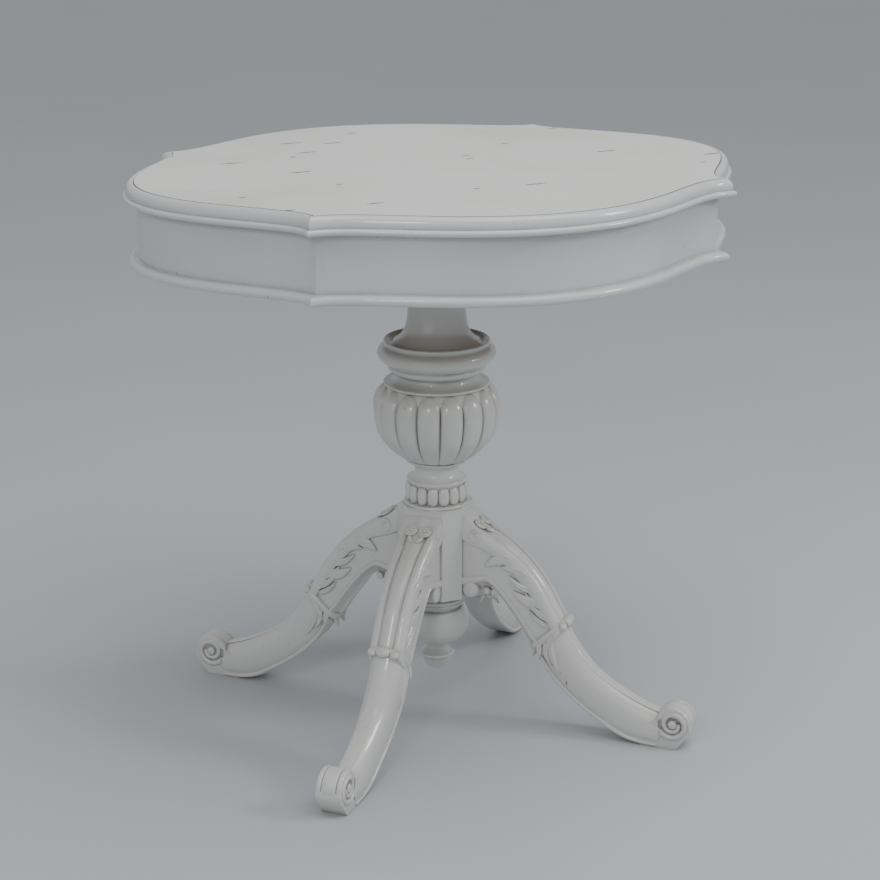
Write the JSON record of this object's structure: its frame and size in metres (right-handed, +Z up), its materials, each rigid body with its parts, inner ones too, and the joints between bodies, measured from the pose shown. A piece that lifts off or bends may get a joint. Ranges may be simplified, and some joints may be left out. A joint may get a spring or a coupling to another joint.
{
  "type": "tilt top table",
  "caption": "Painted tilt top centre table: serpentine moulded top with apron, hinged on a turned lobed pedestal with carved scroll legs.",
  "frame": {"origin": "on the floor, under the pedestal axis", "axes": "+Z up, X along the long side of the top and parallel to the hinge, -Y towards the front long side that dips when the top tilts"},
  "size_m": [0.782, 0.7, 0.72],
  "materials": {
    "painted_wood": "old off-white oil paint, satin, with grey-brown grime in the carving",
    "painted_field": "old off-white oil paint, worn, with small chips and stains",
    "bare_wood": "bare softwood, darkened with age",
    "brass": "aged brass",
    "steel": "dull iron"
  },
  "bodies": {
    "pedestal": {"base_ring": "painted_wood", "beaded_collar": "painted_wood", "bun": "painted_wood", "dish_collar": "painted_wood", "finial": "painted_wood", "gadroon_bulb": "painted_wood", "head_block": "bare_wood", "keeper_plate": "brass", "keeper_screws": "brass", "leg_back_left": "painted_wood", "leg_back_right": "painted_wood", "leg_front_left": "painted_wood", "leg_front_right": "painted_wood", "neck": "painted_wood", "pivot_pin_left": "steel", "pivot_pin_right": "steel", "stem_block": "painted_wood", "tenon_wedge": "bare_wood"},
    "top": {"apron_back": "painted_wood", "apron_front": "painted_wood", "apron_left": "painted_wood", "apron_right": "painted_wood", "bearer_left": "bare_wood", "bearer_right": "bare_wood", "bearer_screws": "steel", "bottom_rail_back": "painted_wood", "bottom_rail_front": "painted_wood", "bottom_rail_left": "painted_wood", "bottom_rail_right": "painted_wood", "catch_case": "brass", "catch_screws": "brass", "corner_block_back_left": "bare_wood", "corner_block_back_right": "bare_wood", "corner_block_front_left": "bare_wood", "corner_block_front_right": "bare_wood", "edge_moulding_back": "painted_wood", "edge_moulding_front": "painted_wood", "edge_moulding_left": "painted_wood", "edge_moulding_right": "painted_wood", "glue_blocks": "bare_wood", "top_board": "painted_field"},
    "catch": {"catch_bolt": "brass", "catch_knob": "brass"}
  },
  "joints": [
    {"name": "top_tilt", "type": "hinge", "parent": "pedestal", "child": "top", "pos_m": [0, -0.15, 0.68], "axis": [1, 0, 0], "range_deg": [0, 90]},
    {"name": "catch_throw", "type": "slide", "parent": "top", "child": "catch", "axis": [0, -1, 0], "range_m": [0, 0.01]}
  ]
}
